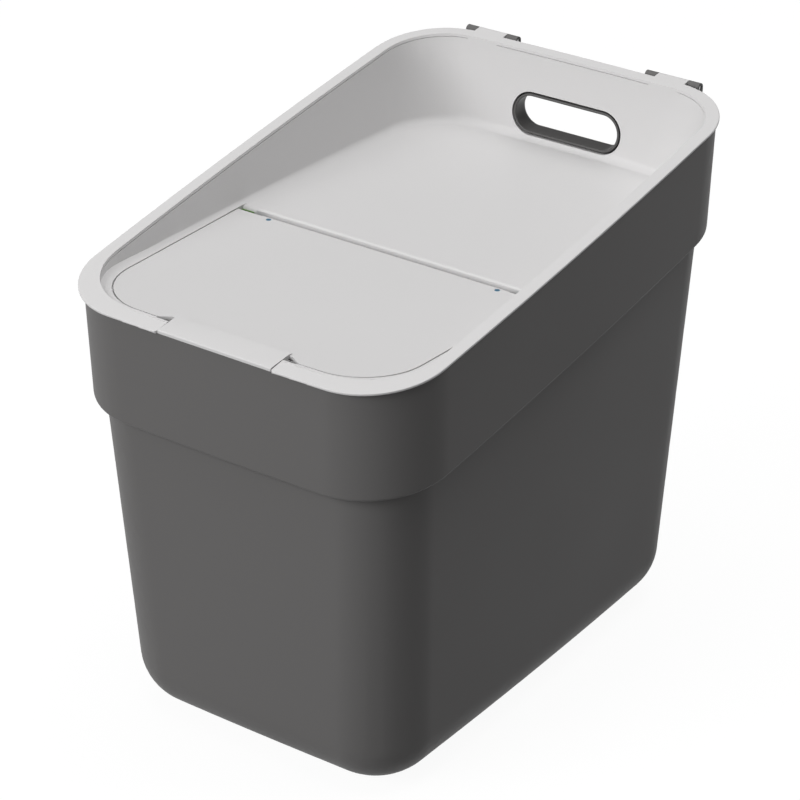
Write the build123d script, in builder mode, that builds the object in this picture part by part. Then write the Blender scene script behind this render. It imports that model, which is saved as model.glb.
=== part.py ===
from build123d import *
from math import atan, cos, degrees, radians, sin, tan
import os

os.makedirs("parts", exist_ok=True)

# A recycling bin: a tapered tub under a wide collar, closed by a sunk lid with a front flap.
# Millimetres. The front faces -Y, +X is the right side, and the floor is z = 0.
# The sloping rim's plan is centred on x = y = 0.

# Rim of the lid, which climbs towards the back
lid_width = 248.4
lid_length = 367.7
lid_corner = 47.4
side_bow = 3.33
end_bow = 1.93
front_height = 280.1
rim_angle = 8.246
rim_thickness = 1.6
rim_edge_round = 0.6
seat_gap = 0.3

# Collar of the body, under the rim
collar_depth = 71.4
collar_top_inset = 0.3
collar_foot_inset = 2.16
collar_shortening = 2.4
collar_shift = 1.0
collar_corner = 51.0
collar_foot_round = 2.4
collar_inner_round = 1.0
ledge_width = 7.64

# Tapered tub below the collar
tub_shift = 2.2
tub_corner = 41.1
base_width = 208.0
base_length = 318.0
base_shift = -0.4
base_corner = 41.0
base_bow_share = 0.8
foot_round = 36.0
body_wall = 2.4

# Sunk deck of the lid
deck_sink = 1.85
deck_angle = -0.7
side_band = 8.0
back_band = 7.5
front_band = 12.1
recess_front_corner = 44.0
recess_back_corner = 40.0
foot_front_corner = 43.0
foot_back_corner = 45.0
side_draft = 12.0
back_draft = 6.7
foot_blend = 5.0
blend_steps = 4
lid_wall = 2.0

# Flap, its opening and its shelf
flap_angle = -1.4
flap_reach = 144.8
flap_side_inset = 17.5
flap_taper = 5.0
flap_gap = 1.0
flap_overlap = 0.1
flap_front_corner = 40.0
flap_thickness = 2.0
flap_rest_gap = 0.3
lip_gap = 1.0
lip_round = 3.5
shelf_width = 5.0
shelf_thickness = 1.8
shelf_wall = 2.0

# Flap hinge: rolled rear edge, pins with locking studs, and bearing blocks in boxes of the lid
roll_radius = 5.0
roll_wall = 2.0
roll_end_inset = 17.7
boss_length = 12.0
plate_tail = 0.8
flap_pin_radius = 1.6
flap_pin_depth = 9.0
flap_pin_fit = 0.02
flap_pin_clearance = 0.08
stud_radius = 1.6
stud_fit = 0.05
stud_inset = 6.9
stud_lean = 13.0
stud_sink = 0.15
block_cover = 8.2
block_reach = 3.0
hub_radius = 2.6
block_fit = 0.1
block_base = 3.0
block_drop = 8.5
block_front = 7.2
block_back = 6.0
block_back_wall = 0.5
block_back_rise = 3.0
block_cap_rise = 2.6
box_wall = 1.6
cheek_drop = 3.0
lip_drop = 9.0
lip_wall = 2.4
swing_gap = 0.4

# Finger tab of the flap, over a notch in the rim
tab_half_width = 39.4
tab_front_inset = 1.35
tab_proud = 0.65
tab_bend_inset = 8.2
tab_crest_run = 2.6
tab_crest_rise = 0.9
tab_edge_round = 0.9
tab_side_gap = 0.6
tab_under_gap = 0.4
notch_corner = 2.0
relief_width = 9.0
relief_depth = 5.0
relief_shoulder = 2.5
relief_tail = 19.0

# Hand slot in the back walls, with the ring that lines it
slot_half_length = 26.35
slot_radius = 14.0
slot_rise = 14.5
ring_gap = 1.1
ring_wall = 1.7
ring_proud = 0.5
ring_fit = 0.05
ring_lip_round = 0.7
flange_width = 4.0
flange_thickness = 1.6
flange_mouth_round = 4.4
slot_reach = 15.0

# Lid hinge: two leaves on the lid, each between two knuckles on the body
hinge_set_back = 4.2
knuckle_radius = 3.1
hinge_side_inset = 57.5
leaf_width = 21.4
hinge_side_gap = 0.4
knuckle_width = 8.0
lid_pin_radius = 1.5
lid_pin_fit = 0.02
lid_pin_clearance = 0.08
lid_pin_end_gap = 0.5
web_drop = 14.0
web_root = 7.0
leaf_relief = 0.5


def sloped(height, angle):
    """A plane that crosses the origin's upright at this height and climbs to the back at this angle."""
    tilt = radians(angle)
    return Plane(origin=(0, 0, height), x_dir=(1, 0, 0), z_dir=(0, -sin(tilt), cos(tilt)))


def plane_height(height, angle, y):
    """How high a sloped plane is at this y."""
    return height + y * tan(radians(angle))


def bowed_outline(plane, front_half, back_half, front, back, bow, corners, bulge=end_bow):
    """A closed outline with four slightly bowed sides and rounded corners, given by its plan sizes."""
    stretch = 1 / plane.z_dir.Z
    low = (front + bulge) * stretch
    high = (back - bulge) * stretch
    middle = (low + high) / 2
    half = (front_half + back_half) / 2
    with BuildSketch(plane) as outline:
        with BuildLine():
            ThreePointArc((bow - front_half, low), (0, front * stretch), (front_half - bow, low))
            ThreePointArc((front_half - bow, low), (half, middle), (back_half - bow, high))
            ThreePointArc((back_half - bow, high), (0, back * stretch), (bow - back_half, high))
            ThreePointArc((bow - back_half, high), (-half, middle), (bow - front_half, low))
        make_face()
        fillet(outline.vertices().group_by(Axis.Y)[0], corners[0])
        fillet(outline.vertices().group_by(Axis.Y)[-1], corners[1])
    return outline.sketch


def inset_outline(plane, inset, shift, corner, width=lid_width, length=lid_length, share=1.0):
    """The lid's outline drawn in by an inset all round and moved back by a shift."""
    half = width / 2 - inset
    ends = (shift - length / 2 + inset, shift + length / 2 - inset)
    return bowed_outline(plane, half, half, *ends, side_bow * share, (corner, corner), end_bow * share)


def collar_form(inset, lift, foot_radius):
    """The collar drawn in by an inset, from the ledge up, with its foot rounded by this radius."""
    grow = (collar_foot_inset - collar_top_inset) / collar_depth
    foot = inset_outline(sloped(rim_height - collar_depth + lift, rim_angle),
                         collar_foot_inset - grow * lift + inset, collar_shift, collar_corner - inset,
                         length=lid_length - collar_shortening)
    top = inset_outline(sloped(rim_height, rim_angle), collar_top_inset + inset, collar_shift,
                        collar_corner - inset, length=lid_length - collar_shortening)
    with BuildPart() as form:
        loft([foot, top], ruled=True)
        fillet(form.faces().sort_by(Axis.Z)[0].edges(), foot_radius)
    return form.part


def tub_form(inset, lift):
    """The tapered tub drawn in by an inset, from this height above the floor to just above the ledge."""
    top_inset = collar_foot_inset + ledge_width
    ledge = rim_height - collar_depth
    share = lift / ledge
    width = base_width + (lid_width - 2 * top_inset - base_width) * share
    length = base_length + (lid_length - 2 * top_inset - base_length) * share
    foot = inset_outline(Plane.XY.offset(lift), inset, base_shift, base_corner - inset, width, length,
                         base_bow_share)
    top = inset_outline(sloped(ledge, rim_angle), top_inset + inset, tub_shift, tub_corner - inset)
    with BuildPart() as form:
        loft([foot, top], ruled=True)
        fillet(form.faces().sort_by(Axis.Z)[0].edges(), foot_round - inset)
        extrude(top, amount=collar_foot_round)
    return form.part


def rim_outline(plane, inset=0):
    """The lid's plan outline on a plane, drawn in by an inset."""
    return inset_outline(plane, inset, 0, lid_corner - inset)


def recess_depth(y):
    """Upright distance from the deck to the rim's plane at this y."""
    return plane_height(rim_height, rim_angle, y) - plane_height(deck_height, deck_angle, y)


def recess_section(share, spread, lowered=0):
    """Outline of the lid's recess at a share of its depth, from 0 at the deck to 1 at the rim."""
    rise = 1 - share
    slope = tan(radians(deck_angle)) * rise + tan(radians(rim_angle)) * share
    height = deck_height * rise + rim_height * share - lowered
    front = lid_length / 2 - front_band
    back = lid_length / 2 - back_band
    half = lid_width / 2 - side_band + spread
    front_half = half - rise * recess_depth(-front) * tan(radians(side_draft))
    back_half = half - rise * recess_depth(back) * tan(radians(side_draft))
    foot = back - rise * recess_depth(back) * tan(radians(back_draft))
    corners = (foot_front_corner * rise + recess_front_corner * share + spread,
               foot_back_corner * rise + recess_back_corner * share + spread)
    return bowed_outline(sloped(height, degrees(atan(slope))), front_half, back_half, -front - spread,
                         foot + spread, side_bow, corners)


def recess_wall_y(z):
    """Where the recess's back wall is, on the centre line, at this height."""
    back = lid_length / 2 - back_band
    return back - (plane_height(rim_height, rim_angle, back) - z) * tan(radians(back_draft))


def recess_form(spread, lowered=0):
    """The lid's recess as a solid with a blended foot, spread outwards and lowered."""
    depth = recess_depth(lid_length / 2 - back_band)
    sections = []
    for step in range(blend_steps + 1):
        turn = radians(90 * step / blend_steps)
        share = foot_blend * (1 - cos(turn)) / depth
        sections.append(recess_section(share, spread - foot_blend * (1 - sin(turn)), lowered))
    with BuildPart() as form:
        loft([*sections, recess_section(1, spread, lowered)], ruled=True)
        split(bisect_by=flap_plane.offset(-lowered), keep=Keep.TOP)
    return form.part


def flap_outline(plane, spread, back):
    """The flap's outline, spread outwards, from its bowed front edge to this y at the back."""
    half = flap_half_width + spread
    front_half = half - flap_taper
    front = -flap_front - spread
    with BuildSketch(plane) as outline:
        with BuildLine():
            Polyline((front_half, front + end_bow), (half, flap_axis_y), (half, back), (-half, back),
                     (-half, flap_axis_y), (-front_half, front + end_bow))
            ThreePointArc((-front_half, front + end_bow), (0, front), (front_half, front + end_bow))
        make_face()
        fillet(outline.vertices().group_by(Axis.Y)[0], flap_front_corner + spread)
    return outline.sketch


def slot_outline(radius):
    """The hand slot's outline on an upright plane, widened all round to this end radius."""
    with BuildSketch(Plane.XZ) as outline:
        with Locations((0, slot_height)):
            SlotCenterToCenter(2 * slot_half_length, 2 * radius)
    return outline.sketch


def slot_bar(radius, near, far):
    """A solid bar with the hand slot's outline, from y = near to y = far."""
    return extrude(slot_outline(radius).moved(Location((0, far, 0))), amount=far - near, dir=(0, -1, 0),
                   mode=Mode.PRIVATE)


def block_box(x_low, x_high, y_low, y_high, z_low, z_high, side=1):
    """A box between opposite corners, on the right for side 1 and mirrored to the left for side -1."""
    box = Box(x_high - x_low, y_high - y_low, z_high - z_low, mode=Mode.PRIVATE)
    return Pos(side * (x_low + x_high) / 2, (y_low + y_high) / 2, (z_low + z_high) / 2) * box


def rod(radius, x_low, x_high, y, z, side=1):
    """A round rod along X between two places, on the right for side 1 and to the left for side -1."""
    bar = Cylinder(radius, x_high - x_low, rotation=(0, 90, 0), mode=Mode.PRIVATE)
    return Pos(side * (x_low + x_high) / 2, y, z) * bar


def side_profile(points, x_low, x_high, side=1):
    """A bar along X whose outline is given by (y, z) points."""
    start = min(side * x_low, side * x_high)
    with BuildPart() as bar:
        with BuildSketch(Plane.YZ.offset(start)):
            with BuildLine():
                Polyline(*points, close=True)
            make_face()
        extrude(amount=abs(x_high - x_low))
    return bar.part


def stud(radius, top, side):
    """The stud that locks a flap hinge pin in the roll, from the pin's axis up to this distance."""
    bar = Cylinder(radius, top, align=(Align.CENTER, Align.CENTER, Align.MIN), mode=Mode.PRIVATE)
    place = Pos(side * (roll_half_length - stud_inset), flap_axis_y, flap_axis_z)
    return place * Rot(stud_lean, 0, 0) * bar


def notch_cut(side):
    """What rounds off the rim's corner beside the notch under the finger tab."""
    edge = -lid_length / 2 + end_bow * (2 * tab_half_width / lid_width) ** 2
    inner = tab_half_width + tab_side_gap
    corner = block_box(inner, inner + notch_corner, edge - notch_corner, edge + notch_corner, 0,
                       rim_height, side)
    bar = Cylinder(notch_corner, 2 * rim_height, mode=Mode.PRIVATE)
    return corner - Pos(side * (inner + notch_corner), edge + notch_corner, 0) * bar


# Places worked out from the sizes above
rim_front = lid_length / 2
rim_height = front_height + rim_front * tan(radians(rim_angle))
rim_plane = sloped(rim_height, rim_angle)
seat_plane = rim_plane.offset(-rim_thickness - seat_gap)
recess_front = rim_front - front_band
deck_height = plane_height(rim_height, rim_angle, -recess_front) - deck_sink
deck_height += plane_height(0, deck_angle, recess_front)
slot_height = deck_height + slot_rise
flap_front = recess_front - flap_gap + flap_overlap
flap_axis_y = flap_reach - flap_front
hinge_level = plane_height(deck_height, deck_angle, flap_axis_y)
flap_height = plane_height(hinge_level, flap_angle, -flap_axis_y)
flap_plane = sloped(flap_height, flap_angle)
flap_half_width = lid_width / 2 - flap_side_inset
flap_axis_z = hinge_level - roll_radius
roll_half_length = flap_half_width - roll_end_inset
block_inner = flap_half_width - block_cover
block_outer = flap_half_width + block_reach
hinge_axis_y = rim_front + hinge_set_back
hinge_axis_z = plane_height(rim_height, rim_angle, hinge_axis_y) - knuckle_radius
hinge_spread = lid_width / 2 - hinge_side_inset
lip_y = flap_axis_y + roll_radius + lip_gap
flap_drop = flap_thickness + flap_rest_gap
leaf_inner = hinge_spread - leaf_width / 2
leaf_outer = hinge_spread + leaf_width / 2
knuckle_spans = ((leaf_inner - hinge_side_gap - knuckle_width, leaf_inner - hinge_side_gap),
                 (leaf_outer + hinge_side_gap, leaf_outer + hinge_side_gap + knuckle_width))
ring_radius = slot_radius - ring_gap
collar_back = rim_front - collar_shortening / 2 - collar_top_inset + collar_shift
cap_inner = flap_half_width + swing_gap
tab_front = rim_front - tab_front_inset
tab_bend = flap_front - tab_bend_inset
tab_crest = tab_bend + tab_crest_run
tab_front_height = plane_height(rim_height, rim_angle, -tab_front) + tab_proud
tab_crest_height = plane_height(flap_height, flap_angle, -tab_crest) + tab_crest_rise
tab_slope = degrees(atan((tab_front_height - tab_crest_height) / (tab_crest - tab_front)))
sides = {"left": -1, "right": 1}


# Body: tub, collar, hand slot and hinge knuckles
outer_collar = collar_form(0, 0, collar_foot_round)
outer_tub = tub_form(0, 0)
inner_collar = collar_form(body_wall, body_wall, collar_inner_round)
inner_tub = tub_form(body_wall, body_wall)
with BuildPart() as bin_body:
    add(outer_tub)
    add(outer_collar)
    add(inner_tub, mode=Mode.SUBTRACT)
    split(bisect_by=seat_plane, keep=Keep.BOTTOM)
    add(slot_bar(ring_radius + ring_fit, collar_back - slot_reach, collar_back + slot_reach),
        mode=Mode.SUBTRACT)
    for side in sides.values():
        relief = block_box(leaf_inner - hinge_side_gap, leaf_outer + hinge_side_gap,
                           collar_back - slot_reach, collar_back + slot_reach,
                           hinge_axis_z - knuckle_radius - leaf_relief, rim_height + lid_width, side)
        add(relief, mode=Mode.SUBTRACT)
        for x_low, x_high in knuckle_spans:
            web = [(collar_back - web_root, hinge_axis_z - knuckle_radius),
                   (collar_back - web_root, hinge_axis_z - web_drop),
                   (hinge_axis_y + knuckle_radius, hinge_axis_z - knuckle_radius),
                   (hinge_axis_y + knuckle_radius, hinge_axis_z),
                   (hinge_axis_y - knuckle_radius, hinge_axis_z),
                   (hinge_axis_y - knuckle_radius, hinge_axis_z - knuckle_radius)]
            add(side_profile(web, x_low, x_high, side))
            add(rod(knuckle_radius, x_low, x_high, hinge_axis_y, hinge_axis_z, side))
            add(rod(lid_pin_radius + lid_pin_fit, x_low, x_high, hinge_axis_y, hinge_axis_z, side),
                mode=Mode.SUBTRACT)
    add(inner_collar, mode=Mode.SUBTRACT)
bin_body.part.label = "bin_body"
export_step(bin_body.part, "parts/bin_body.step")


# Dark ring that lines the hand slot, with a flange and a flared mouth behind the back wall
ring_front = recess_wall_y(slot_height) - ring_proud
flange_back = collar_back + flange_thickness
lip_plane = Plane(origin=(0, ring_front, slot_height), x_dir=(1, 0, 0),
                  z_dir=(0, -cos(radians(back_draft)), sin(radians(back_draft))))
with BuildPart() as grip_surround:
    add(slot_bar(ring_radius + flange_width, collar_back - body_wall, flange_back))
    add(outer_collar, mode=Mode.SUBTRACT)
    add(slot_bar(ring_radius, ring_front - slot_reach, flange_back))
    add(slot_bar(ring_radius - ring_wall, ring_front - slot_reach, flange_back), mode=Mode.SUBTRACT)
    split(bisect_by=lip_plane, keep=Keep.BOTTOM)
    mouth = grip_surround.faces().sort_by(Axis.Y)[-1].inner_wires()[0].edges()
    fillet(mouth, flange_mouth_round)
    fillet(grip_surround.faces().sort_by(Axis.Y)[0].edges(), ring_lip_round)
grip_surround.part.label = "grip_surround"
export_step(grip_surround.part, "parts/grip_surround.step")


# Lid frame: rim, sunk deck, hand slot, flap opening with its shelf, bearing boxes and hinge leaves
leaf_front = collar_back - slot_reach
leaf_line = [(leaf_front, plane_height(rim_height, rim_angle, leaf_front)),
             (hinge_axis_y, plane_height(rim_height, rim_angle, hinge_axis_y)),
             (hinge_axis_y, hinge_axis_z),
             (leaf_front, plane_height(rim_height, rim_angle, leaf_front) - rim_thickness)]
opening_half = flap_half_width + flap_gap
shelf_front = -flap_front - flap_gap - shelf_wall
notch_half = tab_half_width + tab_side_gap
notch_floor = (plane_height(tab_front_height, tab_slope, shelf_front + tab_front) - flap_thickness
               - tab_under_gap)
box_inner = block_inner - block_fit
box_outer = block_outer + block_fit
box_front = flap_axis_y - block_front - block_fit
box_floor = flap_axis_z - block_drop
box_ceiling = flap_axis_z + block_cap_rise + flap_rest_gap
deck_at_lip = plane_height(deck_height, deck_angle, lip_y)
shell = recess_form(lid_wall, lid_wall)
hollow = recess_form(0)
pocket = extrude(flap_outline(flap_plane.offset(-flap_drop), flap_gap, lip_y), amount=lid_width)
throat = extrude(flap_outline(flap_plane, flap_gap - shelf_width, lip_y), amount=-lid_width)
throat &= block_box(box_wall - box_inner, box_inner - box_wall, -rim_front, lip_y, 0, rim_height)
lip_corner = block_box(-opening_half, opening_half, lip_y, lip_y + lip_round, deck_at_lip - lip_round,
                       deck_at_lip + lip_round)
lip_corner -= rod(lip_round, -opening_half, opening_half, lip_y + lip_round, deck_at_lip - lip_round)
with BuildPart() as lid_frame:
    extrude(rim_outline(rim_plane), amount=-rim_thickness)
    fillet(lid_frame.faces().sort_by(Axis.Z)[-1].edges(), rim_edge_round)
    add(shell)
    for side in sides.values():
        add(side_profile(leaf_line, leaf_inner, leaf_outer, side))
        add(rod(knuckle_radius, leaf_inner, leaf_outer, hinge_axis_y, hinge_axis_z, side))
        add(rod(lid_pin_radius + lid_pin_clearance, leaf_inner, leaf_outer, hinge_axis_y, hinge_axis_z,
                side), mode=Mode.SUBTRACT)
    add(hollow, mode=Mode.SUBTRACT)
    extrude(flap_outline(flap_plane, flap_gap + shelf_wall, lip_y + lip_wall),
            amount=-flap_drop - shelf_thickness)
    add(block_box(-box_outer - box_wall, box_outer + box_wall, lip_y, lip_y + lip_wall,
                  deck_at_lip - lip_drop, deck_at_lip - lid_wall / 2))
    for side in sides.values():
        add(block_box(box_inner - box_wall, box_outer + box_wall, box_front - box_wall, lip_y + lip_wall,
                      box_floor - box_wall, deck_at_lip - lid_wall / 2, side))
    add(pocket, mode=Mode.SUBTRACT)
    add(throat, mode=Mode.SUBTRACT)
    for side in sides.values():
        add(block_box(box_inner, opening_half, box_front, lip_y, box_floor, rim_height, side),
            mode=Mode.SUBTRACT)
        add(block_box(opening_half, box_outer, box_front, lip_y, box_floor, box_ceiling, side),
            mode=Mode.SUBTRACT)
        add(block_box(box_inner - box_wall, box_inner, box_front, lip_y, flap_axis_z - cheek_drop,
                      rim_height, side), mode=Mode.SUBTRACT)
        add(block_box(notch_half, notch_half + relief_width, shelf_front + shelf_wall,
                      shelf_front + shelf_wall + shelf_width, 0, rim_height, side), mode=Mode.SUBTRACT)
    add(block_box(-notch_half, notch_half, -lid_length, shelf_front, 0, lid_length), mode=Mode.SUBTRACT)
    add(block_box(-notch_half, notch_half, shelf_front, -flap_front, notch_floor, lid_length),
        mode=Mode.SUBTRACT)
    for side in sides.values():
        add(notch_cut(side), mode=Mode.SUBTRACT)
    add(slot_bar(slot_radius, leaf_front - slot_reach, collar_back), mode=Mode.SUBTRACT)
    add(lip_corner, mode=Mode.SUBTRACT)
lid_frame.part.label = "lid_frame"
export_step(lid_frame.part, "parts/lid_frame.step")


# Flap: plate with a raised finger tab and a rolled rear edge that ends in two bosses
bend_height = plane_height(flap_height, flap_angle, -tab_bend)
tab_line = [(-tab_bend, bend_height),
            (-tab_crest, tab_crest_height),
            (-tab_front, tab_front_height),
            (-tab_front, tab_front_height - flap_thickness),
            (-tab_crest, tab_crest_height - flap_thickness),
            (-tab_bend, bend_height - flap_thickness)]
stud_length = 2 * roll_radius
with BuildPart() as flap:
    extrude(flap_outline(flap_plane, 0, flap_axis_y + plate_tail), amount=-flap_thickness)
    with BuildSketch(Plane.YZ.offset(-roll_half_length)):
        with Locations((flap_axis_y, flap_axis_z)):
            Circle(roll_radius)
            Circle(roll_radius - roll_wall, mode=Mode.SUBTRACT)
            Rectangle(roll_radius, 2 * roll_radius, align=(Align.MAX, Align.CENTER), mode=Mode.SUBTRACT)
    extrude(amount=2 * roll_half_length)
    with BuildPart() as tab:
        add(side_profile(tab_line, -tab_half_width, tab_half_width))
        fillet(tab.edges().filter_by(Axis.X).group_by(Axis.Y)[0].sort_by(Axis.Z)[-1], tab_edge_round)
    add(tab.part)
    for side in sides.values():
        add(rod(roll_radius, roll_half_length - boss_length, roll_half_length, flap_axis_y, flap_axis_z,
                side))
        add(rod(flap_pin_radius + flap_pin_fit, roll_half_length - flap_pin_depth, roll_half_length,
                flap_axis_y, flap_axis_z, side), mode=Mode.SUBTRACT)
        add(stud(stud_radius + stud_fit, stud_length, side), mode=Mode.SUBTRACT)
        relief = [(side * tab_half_width, -flap_front - flap_gap),
                  (side * tab_half_width, relief_depth - flap_front),
                  (side * (tab_half_width + relief_shoulder), relief_depth - flap_front),
                  (side * (tab_half_width + relief_width), flap_gap - flap_front),
                  (side * (tab_half_width + relief_tail), -flap_front - flap_gap)]
        with BuildSketch(Plane.XY):
            with BuildLine():
                Polyline(*relief, close=True)
            make_face()
        extrude(amount=lid_length, mode=Mode.SUBTRACT)
flap.part.label = "flap"
export_step(flap.part, "parts/flap.step")


# Flap hinge pins, each with a stud that locks it in the roll, and the bearing blocks
for name, side in sides.items():
    with BuildPart() as pin:
        add(rod(flap_pin_radius, roll_half_length - flap_pin_depth, flap_half_width, flap_axis_y,
                flap_axis_z, side))
        add(stud(stud_radius, stud_length, side))
        split(bisect_by=flap_plane.offset(-stud_sink), keep=Keep.BOTTOM)
    pin.part.label = "flap_hinge_pin_" + name
    export_step(pin.part, "parts/flap_hinge_pin_" + name + ".step")
    with BuildPart() as block:
        add(block_box(block_inner, block_outer, flap_axis_y - block_front, flap_axis_y + block_back,
                      box_floor, box_floor + block_base, side))
        add(block_box(cap_inner, block_outer, flap_axis_y - block_front, flap_axis_y + block_back,
                      box_floor, flap_axis_z + block_cap_rise, side))
        add(block_box(block_inner, cap_inner, flap_axis_y + block_back - block_back_wall,
                      flap_axis_y + block_back, box_floor, flap_axis_z + block_back_rise, side))
        add(block_box(block_inner, cap_inner, flap_axis_y - hub_radius, flap_axis_y + hub_radius,
                      box_floor, flap_axis_z, side))
        add(rod(hub_radius, block_inner, cap_inner, flap_axis_y, flap_axis_z, side))
        add(rod(flap_pin_radius + flap_pin_clearance, block_inner, cap_inner, flap_axis_y, flap_axis_z,
                side), mode=Mode.SUBTRACT)
    block.part.label = "flap_hinge_block_" + name
    export_step(block.part, "parts/flap_hinge_block_" + name + ".step")


# Lid hinge pins, through each leaf and its two knuckles
for name, side in sides.items():
    with BuildPart() as pin:
        add(rod(lid_pin_radius, knuckle_spans[0][0] + lid_pin_end_gap, knuckle_spans[1][1] - lid_pin_end_gap,
                hinge_axis_y, hinge_axis_z, side))
    pin.part.label = "lid_hinge_pin_" + name
    export_step(pin.part, "parts/lid_hinge_pin_" + name + ".step")
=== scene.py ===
"""A recycling bin with a hinged lid and a flap, dressed in moulded plastic for a studio picture."""

import logging
import math
from dataclasses import dataclass, field
from enum import Enum
from typing import Any

import bpy
from mathutils import Matrix, Vector


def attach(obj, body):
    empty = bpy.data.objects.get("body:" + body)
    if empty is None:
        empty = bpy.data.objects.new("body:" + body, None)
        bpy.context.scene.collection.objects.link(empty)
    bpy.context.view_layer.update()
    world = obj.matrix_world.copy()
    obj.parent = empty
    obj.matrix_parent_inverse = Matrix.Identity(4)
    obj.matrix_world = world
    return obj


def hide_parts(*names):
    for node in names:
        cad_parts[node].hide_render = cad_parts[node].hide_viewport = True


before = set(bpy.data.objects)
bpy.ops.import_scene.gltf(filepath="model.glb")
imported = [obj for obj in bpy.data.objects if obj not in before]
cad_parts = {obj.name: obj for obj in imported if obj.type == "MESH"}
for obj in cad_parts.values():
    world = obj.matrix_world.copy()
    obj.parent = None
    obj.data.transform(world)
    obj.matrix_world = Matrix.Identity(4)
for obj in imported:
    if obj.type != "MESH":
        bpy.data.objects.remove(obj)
log = logging.getLogger("recycling_bin")

Colour = tuple[float, float, float]
MERGE_DISTANCE = 2e-6
NOISE_MIDDLE = 0.5


class Side(Enum):
    """The two sides of the bin, seen from the front."""

    LEFT = "left"
    RIGHT = "right"


class Finish(Enum):
    """The record's material slots that the pieces take."""

    DARK_GREY = "dark_grey_plastic"
    CHARCOAL = "charcoal_plastic"
    LIGHT_GREY = "light_grey_plastic"
    GREEN = "green_plastic"
    TEAL = "teal_plastic"
    STEEL = "pin_steel"


class Value:
    """A shader socket that takes part in Python arithmetic."""

    def __init__(self, graph: "Graph", socket: bpy.types.NodeSocket) -> None:
        """Wraps a socket.

        Args:
            graph: The graph that the socket belongs to.
            socket: The output socket.
        """
        self.graph = graph
        self.socket = socket

    def _join(self, operation: str, first: Any, second: Any) -> "Value":
        """Adds one Math node.

        Args:
            operation: The Math node's operation.
            first: The first value or number.
            second: The second value or number.

        Returns:
            The result's value.
        """
        return self.graph.node("ShaderNodeMath", {"operation": operation}, {0: first, 1: second})

    def __add__(self, other: Any) -> "Value":
        """The sum with another value."""
        return self._join("ADD", self, other)

    def __sub__(self, other: Any) -> "Value":
        """What is left after another value is taken off."""
        return self._join("SUBTRACT", self, other)

    def __rsub__(self, other: Any) -> "Value":
        """What is left of another value after this one is taken off."""
        return self._join("SUBTRACT", other, self)

    def __mul__(self, other: Any) -> "Value":
        """The product with another value."""
        return self._join("MULTIPLY", self, other)

    __radd__ = __add__
    __rmul__ = __mul__


class Graph:
    """The node graph of one material."""

    def __init__(self, name: str) -> None:
        """Starts an empty material.

        Args:
            name: The material's name.
        """
        self.material = bpy.data.materials.new(name)
        self.material.use_nodes = True
        self.tree = self.material.node_tree
        self.tree.nodes.clear()

    def node(self, kind: str, settings: dict[str, Any], inputs: dict[Any, Any], output: Any = 0) -> Value:
        """Adds a node, sets it and fills its sockets.

        Args:
            kind: The node's type.
            settings: Properties to set before the sockets are filled.
            inputs: Socket name or number to a value, a number or a colour.
            output: Name or number of the output socket that is wanted.

        Returns:
            The wanted output as a value.
        """
        node = self.tree.nodes.new(kind)
        for key, setting in settings.items():
            setattr(node, key, setting)
        for key, content in inputs.items():
            if isinstance(content, Value):
                self.tree.links.new(content.socket, node.inputs[key])
            else:
                node.inputs[key].default_value = content
        return Value(self, node.outputs[output])

    def blend(self, factor: Value, first: Colour, second: Colour) -> Value:
        """Mixes two colours.

        Args:
            factor: 0 for the first colour, 1 for the second.
            first: The first colour.
            second: The second colour.

        Returns:
            The mixed colour.
        """
        return self.node("ShaderNodeMix", {"data_type": "RGBA"},
                         {0: factor, 6: (*first, 1.0), 7: (*second, 1.0)}, 2)

    def noise(self, place: Value, size: float, detail: float, roughness: float = 0.5) -> Value:
        """Smooth noise around 0.5.

        Args:
            place: The coordinates.
            size: The size of one blotch, in metres.
            detail: How many finer layers are added.
            roughness: How strong the finer layers are.

        Returns:
            The noise value.
        """
        return self.node("ShaderNodeTexNoise", {},
                         {"Vector": place, "Scale": 1 / size, "Detail": detail, "Roughness": roughness})

    def finish(self, surface: Value) -> bpy.types.Material:
        """Connects the surface to the output.

        Args:
            surface: The shader.

        Returns:
            The finished material.
        """
        output = self.tree.nodes.new("ShaderNodeOutputMaterial")
        self.tree.links.new(surface.socket, output.inputs["Surface"])
        return self.material


@dataclass(frozen=True)
class MouldedPlastic:
    """Injection-moulded plastic with the fine grain that the mould leaves."""

    colour: Colour
    roughness: float
    gloss: float
    drift: float = 0.03
    drift_size: float = 0.09
    drift_detail: float = 2.0
    grain_size: float = 0.0007
    grain_detail: float = 3.0
    grain_roughness: float = 0.6
    grain_height: float = 0.00003
    grain_strength: float = 0.25
    grain_share: float = 0.3
    roughness_spread: float = 0.08

    def material(self, name: str) -> bpy.types.Material:
        """Builds the material.

        Args:
            name: The material's name.

        Returns:
            The material.
        """
        graph = Graph(name)
        place = graph.node("ShaderNodeTexCoord", {}, {}, "Object")
        flow = graph.noise(place, self.drift_size, self.drift_detail)
        grain = graph.noise(place, self.grain_size, self.grain_detail, self.grain_roughness)
        dark = tuple(channel * (1 - self.drift) for channel in self.colour)
        light = tuple(channel * (1 + self.drift) for channel in self.colour)
        tint = graph.blend(flow * (1 - self.grain_share) + grain * self.grain_share, dark, light)
        rough = (grain - NOISE_MIDDLE) * self.roughness_spread
        rough = rough + (flow - NOISE_MIDDLE) * self.roughness_spread
        bump = graph.node("ShaderNodeBump", {},
                          {"Strength": self.grain_strength, "Distance": self.grain_height, "Height": grain})
        surface = graph.node("ShaderNodeBsdfPrincipled", {},
                             {"Base Color": tint, "Roughness": rough + self.roughness,
                              "Specular IOR Level": self.gloss, "Normal": bump})
        return graph.finish(surface)


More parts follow.
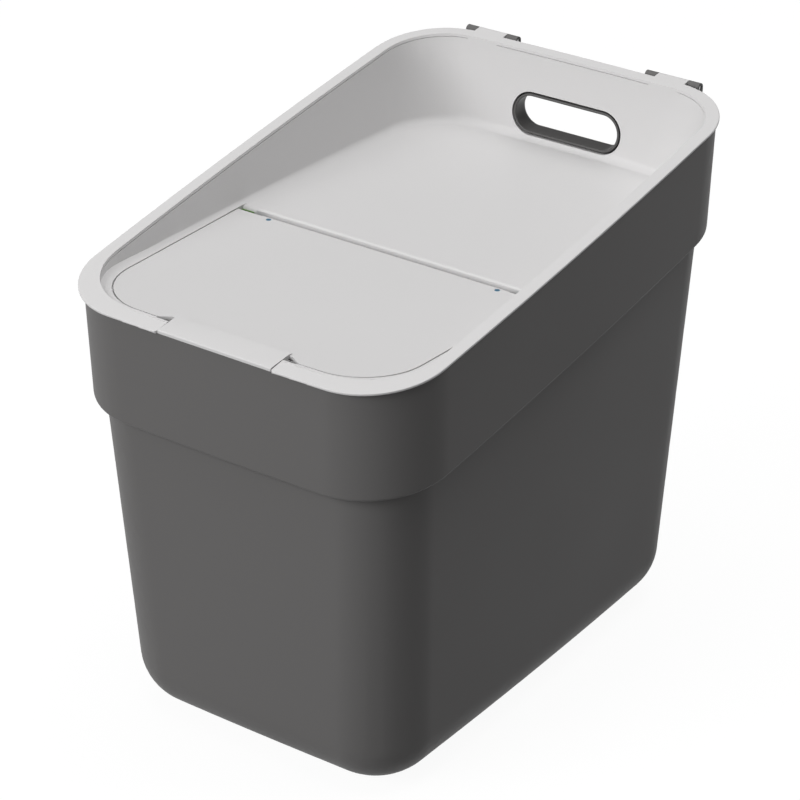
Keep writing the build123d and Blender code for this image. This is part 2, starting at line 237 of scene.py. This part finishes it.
@dataclass(frozen=True)
class DrawnSteel:
    """Drawn steel wire with fine lines along its length."""

    colour: Colour
    roughness: float
    line_size: float = 0.0002
    line_spread: float = 0.15
    line_stretch: float = 0.02
    line_detail: float = 2.0

    def material(self, name: str) -> bpy.types.Material:
        """Builds the material.

        Args:
            name: The material's name.

        Returns:
            The material.
        """
        graph = Graph(name)
        place = graph.node("ShaderNodeTexCoord", {}, {}, "Object")
        across = graph.node("ShaderNodeMapping", {},
                            {"Vector": place, "Scale": (self.line_stretch, 1.0, 1.0)})
        lines = graph.noise(across, self.line_size, self.line_detail)
        surface = graph.node("ShaderNodeBsdfPrincipled", {},
                             {"Base Color": (*self.colour, 1.0), "Metallic": 1.0,
                              "Roughness": lines * self.line_spread + self.roughness})
        return graph.finish(surface)


FINISHES = {
    Finish.DARK_GREY: MouldedPlastic(colour=(0.131, 0.128, 0.127), roughness=0.52, gloss=0.16),
    Finish.CHARCOAL: MouldedPlastic(colour=(0.080, 0.078, 0.077), roughness=0.42, gloss=0.3),
    Finish.LIGHT_GREY: MouldedPlastic(colour=(0.605, 0.598, 0.598), roughness=0.5, gloss=0.32, drift=0.01),
    Finish.GREEN: MouldedPlastic(colour=(0.17, 0.33, 0.09), roughness=0.4, gloss=0.4),
    Finish.TEAL: MouldedPlastic(colour=(0.030, 0.13, 0.22), roughness=0.35, gloss=0.4),
    Finish.STEEL: DrawnSteel(colour=(0.55, 0.55, 0.56), roughness=0.25),
}


@dataclass
class Wardrobe:
    """Keeps one material for each finish."""

    made: dict[Finish, bpy.types.Material] = field(default_factory=dict)

    def wear(self, piece: bpy.types.Object, finish: Finish) -> None:
        """Gives a piece its material.

        Args:
            piece: The piece to dress.
            finish: The finish that it takes.
        """
        if finish not in self.made:
            self.made[finish] = FINISHES[finish].material(finish.value)
        piece.data.materials.clear()
        piece.data.materials.append(self.made[finish])


def select_only(piece: bpy.types.Object) -> None:
    """Makes a piece the one selected and active object."""
    bpy.ops.object.select_all(action="DESELECT")
    piece.select_set(True)
    bpy.context.view_layer.objects.active = piece


@dataclass
class SmoothShell:
    """The smooth skin of one moulded piece, made from a merged copy of its node."""

    node: str
    body: str
    finish: Finish
    sharp_angle: float

    def build(self, wardrobe: Wardrobe) -> bpy.types.Object:
        """Copies, merges and smooths the piece, and puts it on its body.

        Args:
            wardrobe: The materials.

        Returns:
            The finished piece.
        """
        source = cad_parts[self.node]
        piece = bpy.data.objects.new(self.node + "_skin", source.data.copy())
        bpy.context.scene.collection.objects.link(piece)
        select_only(piece)
        bpy.ops.object.mode_set(mode="EDIT")
        bpy.ops.mesh.select_all(action="SELECT")
        bpy.ops.mesh.remove_doubles(threshold=MERGE_DISTANCE)
        bpy.ops.object.mode_set(mode="OBJECT")
        bpy.ops.mesh.customdata_custom_splitnormals_clear()
        bpy.ops.object.shade_smooth_by_angle(angle=math.radians(self.sharp_angle))
        even = piece.modifiers.new("even", "WEIGHTED_NORMAL")
        even.keep_sharp = True
        bpy.ops.object.modifier_apply(modifier=even.name)
        wardrobe.wear(piece, self.finish)
        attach(piece, self.body)
        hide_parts(self.node)
        return piece


@dataclass
class BinBody:
    """The dark tub with its collar and the ring round its hand slot."""

    sharp_angle: float = 32.0

    def build(self, wardrobe: Wardrobe) -> list[bpy.types.Object]:
        """Builds the tub and the ring.

        Args:
            wardrobe: The materials.

        Returns:
            The pieces.
        """
        finishes = {"bin_body": Finish.DARK_GREY, "grip_surround": Finish.CHARCOAL}
        return [SmoothShell(node, "bin", finish, self.sharp_angle).build(wardrobe)
                for node, finish in finishes.items()]


@dataclass
class Lid:
    """The light lid with the green bearing blocks of the flap."""

    sharp_angle: float = 32.0

    def build(self, wardrobe: Wardrobe) -> list[bpy.types.Object]:
        """Builds the lid and its blocks.

        Args:
            wardrobe: The materials.

        Returns:
            The pieces.
        """
        finishes = {"lid_frame": Finish.LIGHT_GREY}
        finishes |= {"flap_hinge_block_" + side.value: Finish.GREEN for side in Side}
        return [SmoothShell(node, "lid", finish, self.sharp_angle).build(wardrobe)
                for node, finish in finishes.items()]


@dataclass
class Flap:
    """The front flap with the pins that it turns on."""

    sharp_angle: float = 32.0

    def build(self, wardrobe: Wardrobe) -> list[bpy.types.Object]:
        """Builds the flap and its pins.

        Args:
            wardrobe: The materials.

        Returns:
            The pieces.
        """
        finishes = {"flap": Finish.LIGHT_GREY}
        finishes |= {"flap_hinge_pin_" + side.value: Finish.TEAL for side in Side}
        return [SmoothShell(node, "flap", finish, self.sharp_angle).build(wardrobe)
                for node, finish in finishes.items()]


@dataclass
class LidPins:
    """The two steel pins of the lid's hinges."""

    sharp_angle: float = 32.0

    def build(self, wardrobe: Wardrobe) -> list[bpy.types.Object]:
        """Builds the pins.

        Args:
            wardrobe: The materials.

        Returns:
            The pieces.
        """
        return [SmoothShell("lid_hinge_pin_" + side.value, "bin", Finish.STEEL,
                            self.sharp_angle).build(wardrobe)
                for side in Side]


@dataclass(frozen=True)
class SoftLamp:
    """One square area lamp: where it hangs, how wide it is and how strong."""

    name: str
    place: tuple[float, float, float]
    size: float
    power: float


@dataclass
class Studio:
    """The floor, the soft lamps, the white surroundings and the camera."""

    floor_size: float = 30.0
    floor_colour: Colour = (0.15, 0.15, 0.15)
    floor_white: float = 0.5
    floor_glow: float = 1.88
    ambient: float = 0.34
    azimuth: float = 35.544
    elevation: float = 28.141
    roll: float = 0.027
    distance: float = 1.8354
    aim_height: float = 0.170
    aim_right: float = 0.00427
    aim_back: float = 0.00011
    aim_up: float = 0.0
    focal_pixels: float = 3030.5
    frame_pixels: float = 800.0
    sensor: float = 36.0
    lamps: tuple[SoftLamp, ...] = (SoftLamp("key", (-1.19, -2.87, 1.55), 2.0, 82.0),
                                   SoftLamp("overhead", (0.2, 0.3, 3.0), 2.4, 52.0))

    def build(self) -> None:
        """Builds the whole studio."""
        self.build_floor()
        self.build_surroundings()
        for lamp in self.lamps:
            self.hang(lamp)
        self.build_camera()

    def build_floor(self) -> None:
        """Adds the floor, white to the camera but dimmed by the object's shadow."""
        bpy.ops.object.select_all(action="DESELECT")
        bpy.ops.mesh.primitive_plane_add(size=self.floor_size)
        floor = bpy.context.active_object
        floor.name = "floor"
        graph = Graph("studio_floor")
        paper = graph.node("ShaderNodeBsdfDiffuse", {}, {"Color": (*self.floor_colour, 1.0)})
        white = graph.node("ShaderNodeEmission", {},
                           {"Color": (1.0, 1.0, 1.0, 1.0), "Strength": self.floor_glow})
        seen = self.background_ray(graph) * self.floor_white
        surface = graph.node("ShaderNodeMixShader", {}, {0: seen, 1: paper, 2: white})
        floor.data.materials.append(graph.finish(surface))

    def background_ray(self, graph: Graph) -> Value:
        """1 where the camera sees a surface, straight or in a reflection or through glass.

        Args:
            graph: The material's graph.

        Returns:
            The value.
        """
        camera = graph.node("ShaderNodeLightPath", {}, {}, "Is Camera Ray")
        glossy = graph.node("ShaderNodeLightPath", {}, {}, "Is Glossy Ray")
        through = graph.node("ShaderNodeLightPath", {}, {}, "Is Transmission Ray")
        return graph.node("ShaderNodeMath", {"operation": "ADD", "use_clamp": True},
                          {0: camera + glossy, 1: through})

    def build_surroundings(self) -> None:
        """Makes the world white to the camera and softly grey as a light."""
        world = bpy.data.worlds.new("surroundings")
        bpy.context.scene.world = world
        world.use_nodes = True
        tree = world.node_tree
        tree.nodes.clear()
        path = tree.nodes.new("ShaderNodeLightPath")
        white = tree.nodes.new("ShaderNodeBackground")
        white.inputs["Strength"].default_value = 1.0
        soft = tree.nodes.new("ShaderNodeBackground")
        soft.inputs["Strength"].default_value = self.ambient
        mix = tree.nodes.new("ShaderNodeMixShader")
        tree.links.new(path.outputs["Is Camera Ray"], mix.inputs[0])
        tree.links.new(soft.outputs[0], mix.inputs[1])
        tree.links.new(white.outputs[0], mix.inputs[2])
        output = tree.nodes.new("ShaderNodeOutputWorld")
        tree.links.new(mix.outputs[0], output.inputs["Surface"])

    def hang(self, lamp: SoftLamp) -> None:
        """Adds one lamp that looks at the middle of the object.

        Args:
            lamp: The lamp to add.
        """
        data = bpy.data.lights.new(lamp.name, "AREA")
        data.shape = "SQUARE"
        data.size = lamp.size
        data.energy = lamp.power
        hung = bpy.data.objects.new(lamp.name, data)
        bpy.context.scene.collection.objects.link(hung)
        place = Vector(lamp.place)
        aim = Vector((0.0, 0.0, self.aim_height))
        hung.location = place
        hung.rotation_euler = (aim - place).to_track_quat("-Z", "Y").to_euler()

    def build_camera(self) -> None:
        """Places the camera at the photograph's viewing angle."""
        turn, rise, roll = (math.radians(angle) for angle in (self.azimuth, self.elevation, self.roll))
        back = Vector((math.sin(turn) * math.cos(rise), -math.cos(turn) * math.cos(rise), math.sin(rise)))
        level = Vector((math.cos(turn), math.sin(turn), 0.0))
        upright = back.cross(level)
        right = level * math.cos(roll) + upright * math.sin(roll)
        up = upright * math.cos(roll) - level * math.sin(roll)
        data = bpy.data.cameras.new("camera")
        data.sensor_width = self.sensor
        data.lens = self.focal_pixels * self.sensor / self.frame_pixels
        camera = bpy.data.objects.new("camera", data)
        bpy.context.scene.collection.objects.link(camera)
        place = Vector((0.0, self.aim_back, self.aim_height)) + back * self.distance
        place -= right * self.aim_right + up * self.aim_up
        camera.matrix_world = Matrix.Translation(place) @ Matrix((right, up, back)).transposed().to_4x4()
        bpy.context.scene.camera = camera


def main() -> None:
    """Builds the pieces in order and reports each."""
    logging.basicConfig(level=logging.INFO, format="%(name)s: %(message)s")
    bpy.context.scene.view_settings.view_transform = "Standard"
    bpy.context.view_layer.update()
    wardrobe = Wardrobe()
    for part in (BinBody(), Lid(), Flap(), LidPins()):
        for piece in part.build(wardrobe):
            log.info("%s: %d faces", piece.name, len(piece.data.polygons))
    Studio().build()


if __name__ == "__main__":
    main()
